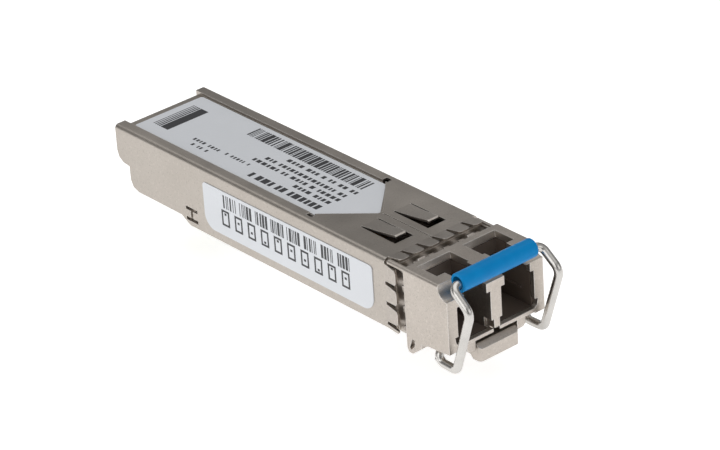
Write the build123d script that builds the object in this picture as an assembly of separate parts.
"""Pluggable optical transceiver with a duplex LC receptacle and a wire bail latch.

Frame, in millimetres: X across the width, +Y towards the rear edge connector, +Z up
towards the top label. The origin lies on the underside, midway across, at the latch
shoulder, the small step that the host cage catches.
"""
import os
from math import cos, radians, sin

from build123d import *

# ---------------------------------------------------------------- driving dimensions
BODY_WIDTH = 13.4          # over the jacket's sides
BODY_HEIGHT = 8.5          # underside to the jacket's top
NOSE_WIDTH = BODY_WIDTH + 0.3   # the cast nose stands proud on both sides
NOSE_HEIGHT = BODY_HEIGHT + 0.1
REAR_Y = 45.0              # latch shoulder to the rear face
FRONT_Y = -11.5            # latch shoulder to the front face
FLANGE_Y = -4.7            # rear face of the nose's wide part
NECK_END_Y = -1.2          # the nose ends and the base tray starts here
SHEET = 0.3                # jacket sheet
GAP = 0.05                 # between pieces that are put together loosely
JACKET_LOW_Z = 0.15        # lower edge of the jacket's sides

# receptacle for duplex LC plugs
LC_PITCH = 6.25
PORT_WIDTH = 4.75
PORT_LOW_Z = 1.35
PORT_HIGH_Z = 5.95
PORT_END_Y = -1.5          # where a plug's body stops
FERRULE_RADIUS = 0.6255    # bore for the 1.249 mm ferrule
NOZZLE_RADIUS = 1.45
NOZZLE_LENGTH = 4.0

# bail and latch
WIRE_RADIUS = 0.5
PIVOT_Y = -8.9
PIVOT_Z = -0.1
SLEEVE_Y = -11.6           # middle of the sleeve when the bail is shut
SLEEVE_Z = 8.83
SLEEVE_RADIUS = 1.09
SLEEVE_BORE_RADIUS = 0.76
SLEEVE_LENGTH = 10.6
RUNNING_FIT = 0.04         # radial, pins and journals in their holes
LEVER_WIDTH = 5.7
LATCH_BAY_WIDTH = 6.3      # the cavity that the lever rocks in
PIN_Y = -5.5
PIN_Z = 0.44
PIN_RADIUS = 0.25
BOSS_LENGTH = 2.6
BOSS_WIDTH = 2.6
BOSS_HEIGHT = 0.45

# circuit board
BOARD_LOW_Z = 2.25
BOARD_THICKNESS = 1.0
BOARD_START_Y = 11.5
BOARD_END_Y = REAR_Y - 3.2
TONGUE_WIDTH = 9.2
BOARD_WIDTH = 10.8
BOTTOM_OPENING_Y = REAR_Y - 10.4    # behind this the underside is cut away for the host connector
SHOULDER_ABOVE_BOARD = 2.0
PAD_PITCH = 0.8
PADS_PER_SIDE = 10

# ---------------------------------------------------------------- worked-out places
BODY_X = BODY_WIDTH / 2
NOSE_X = NOSE_WIDTH / 2
INNER_X = BODY_X - SHEET - GAP           # what lies inside the jacket
INNER_Z = BODY_HEIGHT - SHEET - GAP
PORT_X = LC_PITCH / 2
PORT_INNER_X = PORT_X - PORT_WIDTH / 2
PORT_OUTER_X = PORT_X + PORT_WIDTH / 2
OPTIC_Z = (PORT_LOW_Z + PORT_HIGH_Z) / 2
BOARD_HIGH_Z = BOARD_LOW_Z + BOARD_THICKNESS
BAY_X = LATCH_BAY_WIDTH / 2
LEVER_X = LEVER_WIDTH / 2

parts = {}


# ---------------------------------------------------------------- small helpers
def block(x, y, z):
    """A box from three (low, high) pairs."""
    size = [high - low for low, high in (x, y, z)]
    middle = [(low + high) / 2 for low, high in (x, y, z)]
    return Pos(*middle) * Box(*size)


def side_plate(points, x):
    """A (y, z) outline, extruded across x = (low, high)."""
    outline = Polyline(*[(x[0], y, z) for y, z in points], close=True)
    return extrude(make_face(outline), amount=x[1] - x[0], dir=(1, 0, 0))


def flat_plate(points, z):
    """An (x, y) outline, extruded over z = (low, high)."""
    outline = Polyline(*[(x, y, z[0]) for x, y in points], close=True)
    return extrude(make_face(outline), amount=z[1] - z[0], dir=(0, 0, 1))


def rod_x(radius, x, y, z):
    """A round bar along X, x = (low, high)."""
    return Pos((x[0] + x[1]) / 2, y, z) * Rot(0, 90, 0) * Cylinder(radius, x[1] - x[0])


def rod_y(radius, y, x, z):
    """A round bar along Y, y = (low, high)."""
    return Pos(x, (y[0] + y[1]) / 2, z) * Rot(90, 0, 0) * Cylinder(radius, y[1] - y[0])


def both_sides(shape):
    """The shape and its mirror image across the middle plane."""
    return shape + mirror(shape, about=Plane.YZ)


def edges_along(shape, axis, keep):
    """Edges parallel to an axis whose middles pass the test."""
    return [edge for edge in shape.edges().filter_by(axis) if keep(edge.center())]


def keep_part(name, shape):
    shape.label = name
    parts[name] = shape


# ---------------------------------------------------------------- cast nose
SCOOP_Y, SCOOP_Z, SCOOP_RADIUS = -11.5, 8.45, 1.42   # seat for the bail's sleeve
WINDOW_X = (PORT_INNER_X + 0.2, PORT_OUTER_X)
WINDOW_Y = (-8.6, -5.65)
WINDOW_BEVEL = 0.15                # the rear wall leans back by this much
WINDOW_BEVEL_DEPTH = 0.6
PLATE_LOW_Z = 7.75                 # below this the windows are lined with plastic
LINER_Y = (-9.75, -4.95)
LATCH_SLOT_X = (PORT_INNER_X + 0.52, PORT_OUTER_X - 1.1)   # the plugs' latch arms pass here
KEY_X = PORT_OUTER_X - 0.5         # lips beside the slot at the front face
KEY_HIGH_Z = PORT_HIGH_Z + 1.05
INSERT_WALL = 0.45
INSERT_FLOOR = 0.2
INSERT_START_Y = FRONT_Y + 0.6
INSERT_TOP_Z = PORT_HIGH_Z + 0.8
INSERT_END_Y = -0.5
SWING_TOP_Z = 0.9                  # the bail's journals and legs swing below this
SWING_END_Y = -7.1
WALL_LOW_Z = (0.47, 0.8)           # the side walls' lower edge rises towards the front
CHEEK_X = (BAY_X - 0.15, BAY_X + 1.05)
CHEEK_Y = (-11.3, FLANGE_Y)
CHEEK_LOW_Z = -0.3
BAY_TOP_Z = 0.95
POST_FOOT_Z = 2.4
CORNER_OUTLINE = [
    (PORT_OUTER_X - 0.1, 2.45), (PORT_OUTER_X + 0.45, 2.45),
    (PORT_OUTER_X + 0.3, 1.7), (PORT_OUTER_X - 0.1, PORT_LOW_Z),
]
CORNER_DEPTH = 1.6
POST_FOOT_SHARE = 0.53             # of the wall's half width between the ports
FOOT_X = (NOSE_X - 0.85, NOSE_X)
FOOT_LOW_Z = -1.4
POCKET_DEPTH = 0.3                 # below the neck's surface, ahead of the fingers
POCKET_Y = (FLANGE_Y, -2.6)
RIB_WIDTH = 0.75
RIB_END_Y = -3.8
CORNER_RIB_END_Y = -1.85
FINGER_ROOT_Y = -1.5
TOP_FINGER_TIP_Y = -3.45
SIDE_FINGER_TIP_Y = -3.5
SLIT = 0.35
TOP_FINGERS = 6
FINGER_PITCH = (BODY_WIDTH - 0.5) / TOP_FINGERS
TOP_FINGER_EDGES = [FINGER_PITCH * (i - TOP_FINGERS / 2) for i in range(TOP_FINGERS + 1)]
SIDE_FINGER_EDGES = [BODY_HEIGHT - 0.4 - 2.45 * i for i in range(4)]


def neck_pockets():
    """The groove that leaves room for the jacket's fingers to flex."""
    low_x, low_z = INNER_X - POCKET_DEPTH, INNER_Z - POCKET_DEPTH
    ring = block((-INNER_X, INNER_X), POCKET_Y, (-1, INNER_Z)) - block(
        (-low_x, low_x), (POCKET_Y[0] - 1, POCKET_Y[1] + 1), (-2, low_z)
    )
    rib_y = (FLANGE_Y, RIB_END_Y)
    for x in TOP_FINGER_EDGES[1:-1]:
        ring -= block((x - RIB_WIDTH / 2, x + RIB_WIDTH / 2), rib_y, (low_z - 1, INNER_Z + 1))
    for z in SIDE_FINGER_EDGES[1:]:
        for side in (-1, 1):
            reach = sorted((side * (low_x - 1), side * (INNER_X + 1)))
            ring -= block(reach, rib_y, (z - RIB_WIDTH / 2, z + RIB_WIDTH / 2))
    return ring


def corner_ribs():
    """Rounded ribs that fill the open corners between the top and side fingers."""
    y = (FLANGE_Y - 0.1, CORNER_RIB_END_Y)
    rib = block((INNER_X - 0.25, INNER_X + 0.25), y, (INNER_Z - 0.15, INNER_Z + 0.25))
    rib = fillet(edges_along(rib, Axis.Y, lambda c: c.X > INNER_X and c.Z > INNER_Z), 0.3)
    root = block((INNER_X - 0.45, INNER_X), y, (INNER_Z - 0.5, INNER_Z))
    return both_sides(rib + root)


def ramp_lugs():
    """Small wedges ahead of the second and fifth top fingers."""
    low_z = INNER_Z - POCKET_DEPTH
    tip = TOP_FINGER_TIP_Y - 0.15
    outline = [(tip - 0.85, low_z), (tip, low_z), (tip, low_z + 0.35), (tip - 0.3, low_z + 0.45)]
    lug_x = 1.65 * FINGER_PITCH
    return both_sides(side_plate(outline, (lug_x - 0.5, lug_x + 0.45)))


def port_shapes():
    """What is cut away for one plug: body, latch arm and window."""
    body = block((PORT_INNER_X, PORT_OUTER_X), (FRONT_Y - 1, INSERT_START_Y), (PORT_LOW_Z, PORT_HIGH_Z))
    room = block(
        (PORT_INNER_X, PORT_OUTER_X + INSERT_WALL),
        (INSERT_START_Y, NECK_END_Y + 1),
        (PORT_LOW_Z, INSERT_TOP_Z),
    )
    key = block((LATCH_SLOT_X[0], KEY_X), (FRONT_Y - 1, WINDOW_Y[0]), (PORT_HIGH_Z - 0.5, KEY_HIGH_Z))
    slot = block(LATCH_SLOT_X, (FRONT_Y - 1, WINDOW_Y[0] + 0.5), (KEY_HIGH_Z - 0.5, NOSE_HEIGHT + 1))
    slot = fillet(edges_along(slot, Axis.Z, lambda c: c.Y < FRONT_Y and c.X > 3), 0.3)
    window = block(WINDOW_X, WINDOW_Y, (PORT_HIGH_Z, NOSE_HEIGHT + 1))
    ramp = side_plate(
        [
            (WINDOW_Y[1] - 0.1, NOSE_HEIGHT + 0.1),
            (WINDOW_Y[1] + WINDOW_BEVEL, NOSE_HEIGHT + 0.1),
            (WINDOW_Y[1], NOSE_HEIGHT - WINDOW_BEVEL_DEPTH),
            (WINDOW_Y[1] - 0.1, NOSE_HEIGHT - WINDOW_BEVEL_DEPTH),
        ],
        WINDOW_X,
    )
    lined_x = (PORT_INNER_X, PORT_OUTER_X + INSERT_WALL)
    roof_room = block(lined_x, LINER_Y, (INSERT_TOP_Z - 0.1, PLATE_LOW_Z))
    floor_z = (PORT_LOW_Z - INSERT_FLOOR, PORT_LOW_Z + 0.1)
    floor_room = block(lined_x, (INSERT_START_Y, PORT_END_Y + GAP), floor_z)
    return body + room + roof_room + floor_room + key + slot + window + ramp


def feet():
    """A slotted foot low on each side, just ahead of the cage."""
    outline = [
        (FLANGE_Y, 0.6), (FLANGE_Y, -0.9), (-5.0, FOOT_LOW_Z),
        (-5.6, FOOT_LOW_Z), (-7.1, -0.2), (-7.1, 0.6),
    ]
    foot = side_plate(outline, FOOT_X)
    foot = fillet(edges_along(foot, Axis.X, lambda c: c.Z < -0.5), 0.3)
    slot_outline = [(-6.0, -0.25), (-6.0, 0.35), (-5.55, 0.35), (-5.1, -0.85), (-5.35, -1.05)]
    slot = side_plate(slot_outline, (FOOT_X[0] - 0.1, FOOT_X[1] + 0.1))
    return both_sides(foot - slot)


def nose_housing():
    wide = block((-NOSE_X, NOSE_X), (FRONT_Y, FLANGE_Y), (0, NOSE_HEIGHT))
    wide = fillet(edges_along(wide, Axis.Y, lambda c: c.Z > 1), 0.3)
    wide = chamfer(edges_along(wide, Axis.Y, lambda c: c.Z < 1), 0.35)
    neck = block((-INNER_X, INNER_X), (FLANGE_Y, NECK_END_Y), (0, INNER_Z))
    body = wide + neck - neck_pockets() + ramp_lugs() + corner_ribs()
    body -= both_sides(port_shapes())
    body -= rod_x(SCOOP_RADIUS, (-NOSE_X - 1, NOSE_X + 1), SCOOP_Y, SCOOP_Z)
    above_scoop = (SCOOP_Z - SCOOP_RADIUS, NOSE_HEIGHT + 1)
    body -= block((-NOSE_X - 1, NOSE_X + 1), (FRONT_Y - 1, SCOOP_Y), above_scoop)
    # underside: bay for the lever, swing room for the bail's legs
    body -= block((-BAY_X, BAY_X), (FRONT_Y - 1, NECK_END_Y + 1), (-1, BAY_TOP_Z))
    swing = block((CHEEK_X[1], PORT_OUTER_X), (FRONT_Y - 1, SWING_END_Y), (-1, SWING_TOP_Z))
    foot_outline = [
        (SWING_END_Y, -1), (SWING_END_Y, 0), (SWING_END_Y - 1.0, WALL_LOW_Z[0]),
        (FRONT_Y - 1, WALL_LOW_Z[1]), (FRONT_Y - 1, -1),
    ]
    wall_foot = side_plate(foot_outline, (PORT_OUTER_X - 0.01, NOSE_X + 1))
    body -= both_sides(swing + wall_foot)
    cheek = block(CHEEK_X, CHEEK_Y, (CHEEK_LOW_Z, BAY_TOP_Z))
    body += both_sides(fillet(edges_along(cheek, Axis.Y, lambda c: c.X > CHEEK_X[0] and c.Z < 0.5), 0.6))
    body -= both_sides(block((CHEEK_X[0] - 1, CHEEK_X[1]), (FRONT_Y - 1, CHEEK_Y[0]), (-1, BAY_TOP_Z)))
    # the ports' lower outer corners are opened out at the front
    corner = make_face(Polyline(*[(x, FRONT_Y - 1, z) for x, z in CORNER_OUTLINE], close=True))
    body -= both_sides(extrude(corner, amount=1 + CORNER_DEPTH, dir=(0, 1, 0)))
    # the wall between the ports narrows to a foot at its front edge
    cut_x = (POST_FOOT_SHARE * PORT_INNER_X, PORT_INNER_X + 0.1)
    body -= both_sides(block(cut_x, (FRONT_Y - 1, FRONT_Y + 1.2), (PORT_LOW_Z, POST_FOOT_Z)))
    body -= block((-0.55, 0.35), (FRONT_Y - 1, FRONT_Y + 0.7), (BAY_TOP_Z - 0.1, PORT_LOW_Z))
    body += feet()
    # holes for the bail's journals and the latch pin
    body -= rod_x(WIRE_RADIUS + RUNNING_FIT, (-CHEEK_X[1] - 1, CHEEK_X[1] + 1), PIVOT_Y, PIVOT_Z)
    body -= rod_x(PIN_RADIUS, (-CHEEK_X[1] + 0.2, CHEEK_X[1] - 0.2), PIN_Y, PIN_Z)
    return body


keep_part("nose_housing", nose_housing())


# ---------------------------------------------------------------- plastic receptacle insert
def lc_insert():
    """The dark moulding that lines both ports and carries the optics' nozzles."""
    outer = PORT_OUTER_X + INSERT_WALL - GAP
    start, end = INSERT_START_Y + GAP, INSERT_END_Y
    low, high = PORT_LOW_Z + GAP, INSERT_TOP_Z - GAP
    half = block((PORT_INNER_X + GAP, outer), (start, end), (low, high))
    floor_z = (PORT_LOW_Z - INSERT_FLOOR + GAP, low + 0.1)
    half += block((PORT_INNER_X + GAP, outer), (start, PORT_END_Y), floor_z)
    half -= block((PORT_INNER_X - 1, PORT_OUTER_X), (start - 1, PORT_END_Y), (PORT_LOW_Z, PORT_HIGH_Z))
    half -= block(WINDOW_X, (start - 1, WINDOW_Y[1]), (PORT_HIGH_Z - 1, high + 1))
    half -= rod_y(NOZZLE_RADIUS + GAP, (start, end + 1), PORT_X, OPTIC_Z)
    liner_y = (LINER_Y[0] + GAP, LINER_Y[1] - GAP)
    liner = block((PORT_INNER_X + GAP, outer), liner_y, (high, PLATE_LOW_Z - GAP))
    liner -= block(WINDOW_X, WINDOW_Y, (PORT_HIGH_Z, PLATE_LOW_Z + 1))
    liner -= block(LATCH_SLOT_X, (liner_y[0] - 1, WINDOW_Y[1]), (PORT_HIGH_Z, PLATE_LOW_Z + 1))
    half += liner
    rib = block((PORT_OUTER_X - 0.2, PORT_OUTER_X + 0.1), (-9.4, PORT_END_Y), (3.0, 3.3))
    return half + rib


insert_half = lc_insert()
bridge = block(
    (-PORT_INNER_X - 0.2, PORT_INNER_X + 0.2),
    (NECK_END_Y + GAP, INSERT_END_Y),
    (PORT_LOW_Z + GAP, INSERT_TOP_Z - GAP),
)
keep_part("receptacle_insert", both_sides(insert_half) + bridge)


# ---------------------------------------------------------------- optical sub-assemblies
FLANGE_RADIUS = 2.0
CAN_RADIUS = 1.9
HEADER_RADIUS = 2.25
SHIELD_Y = (INSERT_END_Y, -0.3)
OPTIC_FLANGE_Y = (-0.3, 0.8)
CAN_Y = (0.8, 6.0)
HEADER_Y = (6.0, 7.0)
SLEEVE_WALL = 0.35
MOUTH_CLEARANCE = 0.25
STUB_LENGTH = 2.2
LEAD_RADIUS = 0.2
LEAD_OFFSET = 0.9
FLEX_THICKNESS = 0.15
FLEX_WIDTH = 3.0


def optic(name, x, can_radius):
    """Transmitter or receiver: nozzle, split sleeve, fibre stub, can, header and leads."""
    tip = PORT_END_Y - NOZZLE_LENGTH
    bore = FERRULE_RADIUS + SLEEVE_WALL
    nozzle = rod_y(NOZZLE_RADIUS, (tip, OPTIC_FLANGE_Y[0]), x, OPTIC_Z)
    nozzle += rod_y(FLANGE_RADIUS, OPTIC_FLANGE_Y, x, OPTIC_Z)
    nozzle = chamfer(nozzle.edges().filter_by(GeomType.CIRCLE).group_by(Axis.Y)[0], 0.2)
    nozzle -= rod_y(bore, (tip + 0.4, OPTIC_FLANGE_Y[1]), x, OPTIC_Z)
    nozzle -= rod_y(FERRULE_RADIUS + MOUTH_CLEARANCE, (tip - 1, tip + 1), x, OPTIC_Z)
    keep_part(f"{name}_nozzle", nozzle)

    stub_y = (OPTIC_FLANGE_Y[1] - 0.02 - STUB_LENGTH, OPTIC_FLANGE_Y[1] - 0.02)
    sleeve_y = (tip + 0.42, stub_y[0])
    sleeve = rod_y(bore - 0.01, sleeve_y, x, OPTIC_Z) - rod_y(FERRULE_RADIUS, (tip, stub_y[1]), x, OPTIC_Z)
    sleeve -= block((x - 0.12, x + 0.12), (tip, 2), (OPTIC_Z, OPTIC_Z + bore + 1))
    keep_part(f"{name}_split_sleeve", sleeve)

    stub = rod_y(bore - 0.01, stub_y, x, OPTIC_Z)
    keep_part(f"{name}_fibre_stub", stub)

    can = rod_y(can_radius, CAN_Y, x, OPTIC_Z)
    can = fillet(can.edges().filter_by(GeomType.CIRCLE).group_by(Axis.Y)[0], 0.2)
    keep_part(f"{name}_can", can)

    header = rod_y(HEADER_RADIUS, HEADER_Y, x, OPTIC_Z)
    for turn in range(4):
        angle = radians(45 + 90 * turn)
        lead_x, lead_z = x + LEAD_OFFSET * cos(angle), OPTIC_Z + LEAD_OFFSET * sin(angle)
        header += rod_y(LEAD_RADIUS, (HEADER_Y[1] - 0.1, HEADER_Y[1] + 0.7), lead_x, lead_z)
    keep_part(f"{name}_header", header)

    back = HEADER_Y[1] + 0.3
    low = BOARD_HIGH_Z + 0.01
    flex_end = BOARD_START_Y + 1.8
    outline = [
        (back, OPTIC_Z + 1.5), (back + FLEX_THICKNESS, OPTIC_Z + 1.5), (back + FLEX_THICKNESS, OPTIC_Z + 0.1),
        (back + 1.6, low + FLEX_THICKNESS), (flex_end, low + FLEX_THICKNESS), (flex_end, low),
        (back + 1.5, low), (back, OPTIC_Z),
    ]
    flex = side_plate(outline, (x - FLEX_WIDTH / 2, x + FLEX_WIDTH / 2))
    for turn in range(4):
        angle = radians(45 + 90 * turn)
        lead_x, lead_z = x + LEAD_OFFSET * cos(angle), OPTIC_Z + LEAD_OFFSET * sin(angle)
        flex -= rod_y(LEAD_RADIUS + 0.02, (HEADER_Y[1], HEADER_Y[1] + 1.6), lead_x, lead_z)
    keep_part(f"{name}_flex", flex)


optic("transmitter", -PORT_X, CAN_RADIUS)
optic("receiver", PORT_X, CAN_RADIUS - 0.1)


def shield_plate():
    """Stamped plate that closes the nose behind the receptacle, with a hole for each nozzle."""
    plate = block((-INNER_X + GAP, INNER_X - GAP), SHIELD_Y, (1.65, INNER_Z - GAP))
    for x in (-PORT_X, PORT_X):
        plate -= rod_y(NOZZLE_RADIUS + GAP, (-1, 1), x, OPTIC_Z)
    return plate


keep_part("shield_plate", shield_plate())


def optics_clamp():
    """Moulded yoke that holds both cans in the tray."""
    yoke = block((-INNER_X + 0.75, INNER_X - 0.75), (3.4, 4.8), (1.6, 6.4))
    yoke -= rod_y(CAN_RADIUS + 0.02, (3, 6), -PORT_X, OPTIC_Z)
    yoke -= rod_y(CAN_RADIUS - 0.08, (3, 6), PORT_X, OPTIC_Z)
    return fillet(edges_along(yoke, Axis.Y, lambda c: abs(c.X) > 5), 0.5)


keep_part("optics_clamp", optics_clamp())


# ---------------------------------------------------------------- base tray and rear frame
TRAY_FLOOR_Z = 1.25
TRAY_WALL = 0.6
TRAY_WALL_TOP_Z = 5.2
LEVER_END_Y = 2.8
BAY_END_Y = LEVER_END_Y + 0.5
BAY_ROOF_Z = 1.5
ROOF_START_Y = -0.45       # just behind the receptacle insert
LEDGE_WIDTH = 0.9
REAR_STEP_Y = REAR_Y - 2.1       # the sides are cut back above the connector's latch
REAR_STEP_Z = 3.85
REAR_LOW_Z = 1.0
PANEL_END_Y = REAR_Y - 0.5
RECESS_DEPTH = 0.35
PANEL_Z = BODY_HEIGHT - RECESS_DEPTH
PANEL_UNDER_Z = PANEL_Z - SHEET - GAP


def base_tray():
    """Cast floor with low walls: latch bay in front, ledges for the board behind."""
    floor = block((-INNER_X, INNER_X), (NECK_END_Y, BOTTOM_OPENING_Y), (0, TRAY_FLOOR_Z))
    floor = chamfer(edges_along(floor, Axis.Y, lambda c: c.Z < 0.1), 0.3)
    wall = block((INNER_X - TRAY_WALL, INNER_X), (0.8, BOTTOM_OPENING_Y), (TRAY_FLOOR_Z, TRAY_WALL_TOP_Z))
    ledge_high = BOARD_LOW_Z
    ledge = block(
        (BOARD_WIDTH / 2 - LEDGE_WIDTH, INNER_X - TRAY_WALL),
        (BOARD_START_Y, BOTTOM_OPENING_Y),
        (TRAY_FLOOR_Z, ledge_high),
    )
    roof = block((-BAY_X - 0.5, BAY_X + 0.5), (ROOF_START_Y, BAY_END_Y + 0.5), (TRAY_FLOOR_Z, BAY_ROOF_Z))
    tray = floor + both_sides(wall + ledge) + roof
    tray -= block((-BAY_X, BAY_X), (NECK_END_Y - 1, BAY_END_Y), (-1, TRAY_FLOOR_Z))
    # the rear end rises to the connector's opening
    tray -= side_plate(
        [(BOTTOM_OPENING_Y - 2.2, -1), (BOTTOM_OPENING_Y - 2.2, 0.1), (BOTTOM_OPENING_Y - 0.9, REAR_LOW_Z),
         (BOTTOM_OPENING_Y + 1, REAR_LOW_Z), (BOTTOM_OPENING_Y + 1, -1)],
        (-BODY_X, BODY_X),
    )
    # shallow rectangle that keeps the underside label clear of the cage
    tray -= block((-4.8, 4.8), (8.0, BOTTOM_OPENING_Y - 3.6), (-1, 0.12))
    return tray


keep_part("base_tray", base_tray())


def rear_frame():
    """Cast hood over the board's tongue; its shoulder stops the host connector."""
    shoulder_z = BOARD_HIGH_Z + SHOULDER_ABOVE_BOARD
    top = block((-INNER_X, INNER_X), (BOTTOM_OPENING_Y - 3.6, PANEL_END_Y - GAP), (shoulder_z, PANEL_UNDER_Z))
    cheek_points = [
        (BOTTOM_OPENING_Y, REAR_LOW_Z + 0.1),
        (REAR_STEP_Y - 1.3, REAR_LOW_Z + 0.1),
        (REAR_STEP_Y - 0.15, REAR_LOW_Z + 1.2),
        (REAR_STEP_Y - 0.15, shoulder_z + 0.2),
        (BOTTOM_OPENING_Y, shoulder_z + 0.2),
    ]
    cheek = side_plate(cheek_points, (INNER_X - TRAY_WALL, INNER_X))
    top_edge = edges_along(top, Axis.X, lambda c: c.Y > REAR_STEP_Y and c.Z < 6)
    return chamfer(top_edge, 0.5) + both_sides(cheek)


keep_part("rear_frame", rear_frame())


# ---------------------------------------------------------------- sheet-metal jacket
CORNER_RADIUS = 0.5
RECESS_X = BODY_X - 1.5
RECESS_START_Y = 12.2      # the rails' front ends
RECESS_APEX_Y = 6.6
APEX_X = 0.35
RELIEF = (0.75, 0.9)       # corner relief at each rail's end, x and y
TAB_X = (1.25, 3.45)
TAB_GAP = 0.2
TAB_HINGE_Y = 5.7
TAB_TIP_Y = 0.6
TAB_TIP_X = (1.65, 3.05)         # it narrows from the hinge to here
TAB_WINDOW_END_Y = 0.1
TAB_RISE = 0.5
FINGER_RISE = 0.25
FINGER_TAPER = 0.2          # taken off each long edge at the tip, less on a narrow finger
FINGER_TIP_RADIUS = 0.4
CRIMP_Y = (BOTTOM_OPENING_Y - 3.9, BOTTOM_OPENING_Y - 1.8)
CRIMP_Z = (0.75, 2.5)
CRIMP_LINE = 0.42


def recess_outline(grow):
    """The label's sunk panel: straight sides, pointed front; grown by the sheet for its back."""
    side = RECESS_X + grow
    front = RECESS_START_Y - 0.5
    return [
        (-side, PANEL_END_Y + 1), (-side, front), (-APEX_X, RECESS_APEX_Y - grow),
        (APEX_X, RECESS_APEX_Y - grow), (side, front), (side, PANEL_END_Y + 1),
    ]


def finger(width_low, width_high, tip_y):
    """One spring finger on the top face, splayed upwards and narrower at its tip."""
    low, high = BODY_HEIGHT - SHEET, BODY_HEIGHT
    outline = [
        (FINGER_ROOT_Y, low), (FINGER_ROOT_Y, high),
        (tip_y, high + FINGER_RISE), (tip_y + 0.05, low + FINGER_RISE),
    ]
    inset = min(FINGER_TAPER, 0.1 * (width_high - width_low))
    taper = [
        (width_low, FINGER_ROOT_Y), (width_high, FINGER_ROOT_Y),
        (width_high - inset, tip_y), (width_low + inset, tip_y),
    ]
    shape = side_plate(outline, (width_low, width_high)) & flat_plate(taper, (low, high + 1))
    tips = [
        edge for edge in shape.edges()
        if edge.center().Y < tip_y + 0.1 and abs((edge @ 1 - edge @ 0).X) < 0.1
    ]
    return fillet(tips, min(FINGER_TIP_RADIUS, 0.3 * (width_high - width_low)))


def on_right_side(shape):
    """Turns a piece made on the top face onto the right face; its X becomes Z."""
    lowered = Pos(0, 0, BODY_X - BODY_HEIGHT) * shape
    return Rot(0, 90, 0) * mirror(lowered, about=Plane.YZ)


def fingers():
    made = []
    for low, high in zip(TOP_FINGER_EDGES, TOP_FINGER_EDGES[1:]):
        left, right = max(low, -BODY_X + CORNER_RADIUS), min(high, BODY_X - CORNER_RADIUS)
        made.append(finger(left + SLIT / 2, right - SLIT / 2, TOP_FINGER_TIP_Y))
    edges = SIDE_FINGER_EDGES + [JACKET_LOW_Z]
    for high, low in zip(edges, edges[1:]):
        trim_low = SLIT / 2 if low > JACKET_LOW_Z else 0
        right = on_right_side(finger(low + trim_low, high - SLIT / 2, SIDE_FINGER_TIP_Y))
        made.append(right)
        made.append(mirror(right, about=Plane.YZ))
    return made


def tab():
    """A lanced tab that stands up from the top and grounds the cage."""
    low, high = BODY_HEIGHT - SHEET, BODY_HEIGHT
    crease = (TAB_HINGE_Y + TAB_TIP_Y) / 2
    outline = [
        (TAB_HINGE_Y, low), (TAB_HINGE_Y, high), (crease, high + 0.42 * TAB_RISE),
        (TAB_TIP_Y + 0.2, high + TAB_RISE), (TAB_TIP_Y, high + 0.8 * TAB_RISE),
        (TAB_TIP_Y + 0.08, low + 0.8 * TAB_RISE), (TAB_TIP_Y + 0.25, low + TAB_RISE - 0.02),
        (crease + 0.03, low + 0.42 * TAB_RISE),
    ]
    taper = [
        (TAB_X[0], TAB_HINGE_Y), (TAB_TIP_X[0], TAB_TIP_Y),
        (TAB_TIP_X[1], TAB_TIP_Y), (TAB_X[1], TAB_HINGE_Y),
    ]
    return side_plate(outline, TAB_X) & flat_plate(taper, (low, high + 1))


def crimp_slot():
    """The H-shaped lance that locks the jacket's side onto the tray."""
    x = (BODY_X - SHEET - 0.01, BODY_X + 1)
    middle = (CRIMP_Y[0] + CRIMP_Y[1]) / 2
    cut = block(x, CRIMP_Y, (CRIMP_Z[0], CRIMP_Z[0] + CRIMP_LINE))
    cut += block(x, CRIMP_Y, (CRIMP_Z[1] - CRIMP_LINE, CRIMP_Z[1]))
    return cut + block(x, (middle - CRIMP_LINE / 2, middle + CRIMP_LINE / 2), CRIMP_Z)


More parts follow.
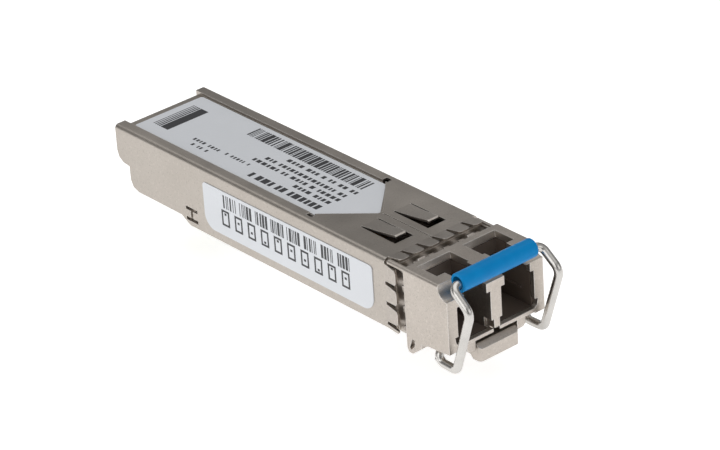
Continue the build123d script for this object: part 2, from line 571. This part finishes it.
def shield_jacket():
    outer = block((-BODY_X, BODY_X), (FINGER_ROOT_Y, REAR_Y), (JACKET_LOW_Z, BODY_HEIGHT))
    outer = fillet(edges_along(outer, Axis.Y, lambda c: c.Z > 5), CORNER_RADIUS)
    inside_x = BODY_X - SHEET
    hollow = block((-inside_x, inside_x), (FINGER_ROOT_Y - 1, REAR_Y + 1), (JACKET_LOW_Z - 1, BODY_HEIGHT - SHEET))
    hollow = fillet(edges_along(hollow, Axis.Y, lambda c: c.Z > 5), CORNER_RADIUS - SHEET)
    jacket = outer - hollow

    # the sunk panel is the same sheet, set down by the recess
    sunk = flat_plate(recess_outline(0), (PANEL_Z, BODY_HEIGHT + 1))
    panel = flat_plate(recess_outline(SHEET), (PANEL_Z - SHEET, BODY_HEIGHT - SHEET))
    panel -= flat_plate(recess_outline(0), (PANEL_Z, BODY_HEIGHT + 1))
    jacket = jacket + panel - sunk
    jacket -= block((-RECESS_X, RECESS_X), (PANEL_END_Y, REAR_Y + 2), (PANEL_Z - SHEET - 1, BODY_HEIGHT + 1))
    jacket -= block((-BODY_X, BODY_X), (REAR_Y, REAR_Y + 2), (0, BODY_HEIGHT + 1))
    relief_x = (RECESS_X - 0.1, RECESS_X + RELIEF[0] - 0.1)
    relief_y = (RECESS_START_Y - RELIEF[1], RECESS_START_Y)
    jacket -= both_sides(block(relief_x, relief_y, (PANEL_Z - SHEET - 1, BODY_HEIGHT + 1)))

    # rear skirt: stepped and rounded lower corners
    low_cut = side_plate(
        [(BOTTOM_OPENING_Y - 2.4, -1), (BOTTOM_OPENING_Y - 2.4, JACKET_LOW_Z),
         (BOTTOM_OPENING_Y - 0.9, REAR_LOW_Z), (REAR_STEP_Y - 1.4, REAR_LOW_Z),
         (REAR_STEP_Y - 0.4, REAR_LOW_Z + 0.35), (REAR_STEP_Y, REAR_LOW_Z + 1.2),
         (REAR_STEP_Y, REAR_STEP_Z), (REAR_Y - 1.0, REAR_STEP_Z + 0.15),
         (REAR_Y - 0.3, REAR_STEP_Z + 0.6), (REAR_Y, REAR_STEP_Z + 1.4),
         (REAR_Y + 1, REAR_STEP_Z + 1.4), (REAR_Y + 1, -1)],
        (-BODY_X - 1, BODY_X + 1),
    )
    jacket -= low_cut
    jacket -= both_sides(crimp_slot())

    # tab windows, then the tabs
    window_x = (TAB_X[0] - TAB_GAP, TAB_X[1] + TAB_GAP)
    window = block(window_x, (TAB_WINDOW_END_Y, TAB_HINGE_Y), (BODY_HEIGHT - 2 * SHEET, BODY_HEIGHT + 1))
    jacket = jacket - both_sides(window) + both_sides(tab())

    # seam down the middle, ahead of the label
    seam_y = (FINGER_ROOT_Y - 1, RECESS_APEX_Y - 0.4)
    jacket -= block((-0.08, 0.08), seam_y, (BODY_HEIGHT - 0.12, BODY_HEIGHT + 1))

    for piece in fingers():
        jacket += piece
    return jacket


keep_part("shield_jacket", shield_jacket())


# ---------------------------------------------------------------- labels
LABEL_THICKNESS = 0.08
TOP_LABEL_X = RECESS_X - 0.25
TOP_LABEL_Y = (11.4, PANEL_END_Y - 0.9)
TOP_LABEL_APEX_Y = 7.0
TOP_LABEL_APEX_X = 0.3
SIDE_LABEL_Y = (0.5, 29.2)
SIDE_LABEL_Z = (1.2, 6.85)


def top_label():
    outline = [
        (-TOP_LABEL_X, TOP_LABEL_Y[1]), (-TOP_LABEL_X, TOP_LABEL_Y[0]), (-TOP_LABEL_APEX_X, TOP_LABEL_APEX_Y),
        (TOP_LABEL_APEX_X, TOP_LABEL_APEX_Y), (TOP_LABEL_X, TOP_LABEL_Y[0]), (TOP_LABEL_X, TOP_LABEL_Y[1]),
    ]
    label = flat_plate(outline, (PANEL_Z, PANEL_Z + LABEL_THICKNESS))
    return fillet(edges_along(label, Axis.Z, lambda c: abs(c.X) > 1), 0.35)


def side_label(side):
    label = block((BODY_X, BODY_X + LABEL_THICKNESS), SIDE_LABEL_Y, SIDE_LABEL_Z)
    label = fillet(edges_along(label, Axis.X, lambda c: c.Z > 5), 0.45)
    label = fillet(edges_along(label, Axis.X, lambda c: c.Z < 2), 1.7)
    return label if side > 0 else mirror(label, about=Plane.YZ)


keep_part("top_label", top_label())
keep_part("side_label", side_label(-1))
keep_part("underside_label", block((-4.6, 4.6), (8.2, BOTTOM_OPENING_Y - 3.8), (0.04, 0.12)))


# ---------------------------------------------------------------- circuit board
def circuit_board():
    z = (BOARD_LOW_Z, BOARD_HIGH_Z)
    board = block((-BOARD_WIDTH / 2, BOARD_WIDTH / 2), (BOARD_START_Y, BOTTOM_OPENING_Y), z)
    tongue = block((-TONGUE_WIDTH / 2, TONGUE_WIDTH / 2), (BOTTOM_OPENING_Y, BOARD_END_Y), z)
    tongue = chamfer(edges_along(tongue, Axis.X, lambda c: c.Y > BOTTOM_OPENING_Y + 1), 0.25)
    return board + tongue


keep_part("circuit_board", circuit_board())


PAD_WIDTH, PAD_LENGTH, PAD_THICKNESS = 0.56, 3.2, 0.04


def gold_contacts():
    """Ten pads on each face of the tongue; the outer ones reach further back as ground."""
    pads = []
    for index in range(PADS_PER_SIDE):
        x = (index - (PADS_PER_SIDE - 1) / 2) * PAD_PITCH
        length = PAD_LENGTH + (0.6 if index in (0, PADS_PER_SIDE - 1) else 0)
        y = (BOARD_END_Y - 0.6 - length, BOARD_END_Y - 0.6)
        reach = (x - PAD_WIDTH / 2, x + PAD_WIDTH / 2)
        pads.append(block(reach, y, (BOARD_HIGH_Z, BOARD_HIGH_Z + PAD_THICKNESS)))
        pads.append(block(reach, y, (BOARD_LOW_Z - PAD_THICKNESS, BOARD_LOW_Z)))
    return Compound(children=pads)


keep_part("gold_contacts", gold_contacts())


def chip(x, y, size, height, base=BOARD_HIGH_Z):
    """A moulded package with bevelled top edges."""
    half_x, half_y = size[0] / 2, size[1] / 2
    body = block((x - half_x, x + half_x), (y - half_y, y + half_y), (base, base + height))
    return chamfer(body.edges().group_by(Axis.Z)[-1], 0.08)


CHIPS = {
    "laser_driver": (-3.0, 16.5, (3.0, 3.0), 0.8),
    "limiting_amplifier": (3.0, 16.5, (3.0, 3.0), 0.8),
    "controller": (0.0, 22.0, (5.0, 5.0), 0.9),
    "memory": (-3.2, 27.6, (2.6, 3.0), 0.75),
    "crystal": (3.1, 27.4, (2.5, 2.0), 0.7),
}
for chip_name, (chip_x, chip_y, chip_size, chip_height) in CHIPS.items():
    keep_part(chip_name, chip(chip_x, chip_y, chip_size, chip_height))


def passives():
    """Chip resistors and capacitors, in rows beside the packages."""
    made = []
    for row, y in enumerate((18.8, 25.5, 30.2, 32.0)):
        for column in range(6):
            x = -4.4 + 1.76 * column + 0.1 * row
            made.append(block((x - 0.25, x + 0.25), (y - 0.5, y + 0.5), (BOARD_HIGH_Z, BOARD_HIGH_Z + 0.5)))
    return Compound(children=made)


keep_part("passives", passives())


def supply_inductors():
    made = [chip(x, 29.3, (1.8, 1.8), 0.9, BOARD_LOW_Z - 0.9) for x in (-2.4, 2.4)]
    return Compound(children=made)


keep_part("supply_inductors", supply_inductors())
keep_part("thermal_pad", block((-2.3, 2.3), (19.8, 24.2), (BOARD_HIGH_Z + 0.9, PANEL_UNDER_Z + GAP)))


# ---------------------------------------------------------------- latch
LEVER_TOP_Z = 0.4
LEVER_LOW_Z = 0.1
BLADE_X = (2.0, 3.0)       # flattened ends of the bail's wire
BLADE_REACH = 0.62
BLADE_THICKNESS = 0.35


def latch_lever():
    """Rocker under the nose: pad in front, knuckle on the pin, boss at the rear."""
    outline = [
        (-11.8, -1.7), (-11.8, -0.2), (-11.1, 0.3), (-7.4, 0.3), (-6.1, LEVER_TOP_Z), (-6.1, PIN_Z + 0.44),
        (-4.9, PIN_Z + 0.44), (-4.9, LEVER_TOP_Z), (LEVER_END_Y, LEVER_TOP_Z),
        (LEVER_END_Y, LEVER_LOW_Z), (-6.4, LEVER_LOW_Z), (-7.9, -1.2), (-10.2, -1.25), (-10.6, -1.7),
    ]
    lever = side_plate(outline, (-LEVER_X, LEVER_X))
    lever = fillet(edges_along(lever, Axis.Z, lambda c: c.Y < -11.5), 0.5)
    recess = block((BLADE_X[0] - 0.15, LEVER_X + 1), (PIVOT_Y - 0.8, PIVOT_Y + 0.8), (PIVOT_Z - 0.6, 1))
    lever -= both_sides(recess)
    boss = flat_plate(
        [
            (-BOSS_WIDTH / 2, 0), (BOSS_WIDTH / 2, 0), (BOSS_WIDTH / 2, 0.7),
            (0.45, BOSS_LENGTH), (-0.45, BOSS_LENGTH), (-BOSS_WIDTH / 2, 0.7),
        ],
        (-BOSS_HEIGHT, LEVER_LOW_Z + 0.05),
    )
    ramp = side_plate([(0.9, -BOSS_HEIGHT - 0.1), (0.9, -BOSS_HEIGHT), (3, 0), (3, -BOSS_HEIGHT - 0.1)], (-2, 2))
    lever += boss - ramp
    return lever - rod_x(PIN_RADIUS + RUNNING_FIT, (-4, 4), PIN_Y, PIN_Z)


keep_part("latch_lever", latch_lever())
keep_part("latch_pin", rod_x(PIN_RADIUS - 0.005, (-CHEEK_X[1] + 0.22, CHEEK_X[1] - 0.22), PIN_Y, PIN_Z))


def latch_spring():
    """Leaf spring under the bay's roof; it holds the boss down."""
    outline = [
        (-1.0, 1.1), (-1.0, 1.22), (0.3, 1.22), (2.3, 0.54),
        (2.6, 0.6), (2.6, 0.48), (2.3, 0.42), (0.27, 1.1),
    ]
    return side_plate(outline, (-1.6, 1.6))


keep_part("latch_spring", latch_spring())


# ---------------------------------------------------------------- bail
BAIL_X = NOSE_X - 0.65              # middle of each leg at the pivot; the legs splay a little upwards
KNEE_X, KNEE_Y, KNEE_Z = NOSE_X - 0.45, -14.6, 6.7
HEEL_X, HEEL_Y, HEEL_Z = NOSE_X - 0.55, -11.9, -1.15
CROSS_BAR_X = NOSE_X - 0.55
# the wire lies against the front of the soft tube's bore
CROSS_BAR_Y = SLEEVE_Y - (SLEEVE_BORE_RADIUS - WIRE_RADIUS - 0.02)
TOE_Y = -9.3


def bail_wire():
    """One bent wire: cross bar, two legs that bulge forward and tuck under, journals inward."""
    leg = [
        (CROSS_BAR_X, CROSS_BAR_Y, SLEEVE_Z), (KNEE_X, KNEE_Y, KNEE_Z), (HEEL_X, HEEL_Y, HEEL_Z),
        (BAIL_X, TOE_Y, HEEL_Z), (BAIL_X, PIVOT_Y, PIVOT_Z),
    ]
    radii = [0.9, 1.2, 0.9, 0.85, 0.72]
    journal_end = (BLADE_X[1], PIVOT_Y, PIVOT_Z)
    right = [*leg, journal_end]
    left = [(-x, y, z) for x, y, z in reversed(right)]
    path = FilletPolyline(*left, *right, radius=[*reversed(radii), *radii])
    start = Plane(origin=path @ 0, z_dir=path % 0)
    wire = sweep(start * Circle(WIRE_RADIUS), path=path)
    blade = block(
        BLADE_X, (PIVOT_Y - BLADE_REACH, PIVOT_Y + BLADE_REACH),
        (PIVOT_Z - BLADE_THICKNESS / 2, PIVOT_Z + BLADE_THICKNESS / 2),
    )
    return wire + both_sides(blade)


keep_part("bail_wire", bail_wire())


def bail_sleeve():
    """Soft tube on the cross bar, the part that a finger pulls."""
    half = SLEEVE_LENGTH / 2
    tube = rod_x(SLEEVE_RADIUS, (-half, half), SLEEVE_Y, SLEEVE_Z)
    tube = fillet(tube.edges().filter_by(GeomType.CIRCLE), 0.15)
    return tube - rod_x(SLEEVE_BORE_RADIUS, (-half - 1, half + 1), SLEEVE_Y, SLEEVE_Z)


keep_part("bail_sleeve", bail_sleeve())


# ---------------------------------------------------------------- write the sub-parts
os.makedirs("parts", exist_ok=True)
for node, shape in parts.items():
    export_step(shape, f"parts/{node}.step")
print(len(parts), "nodes written")
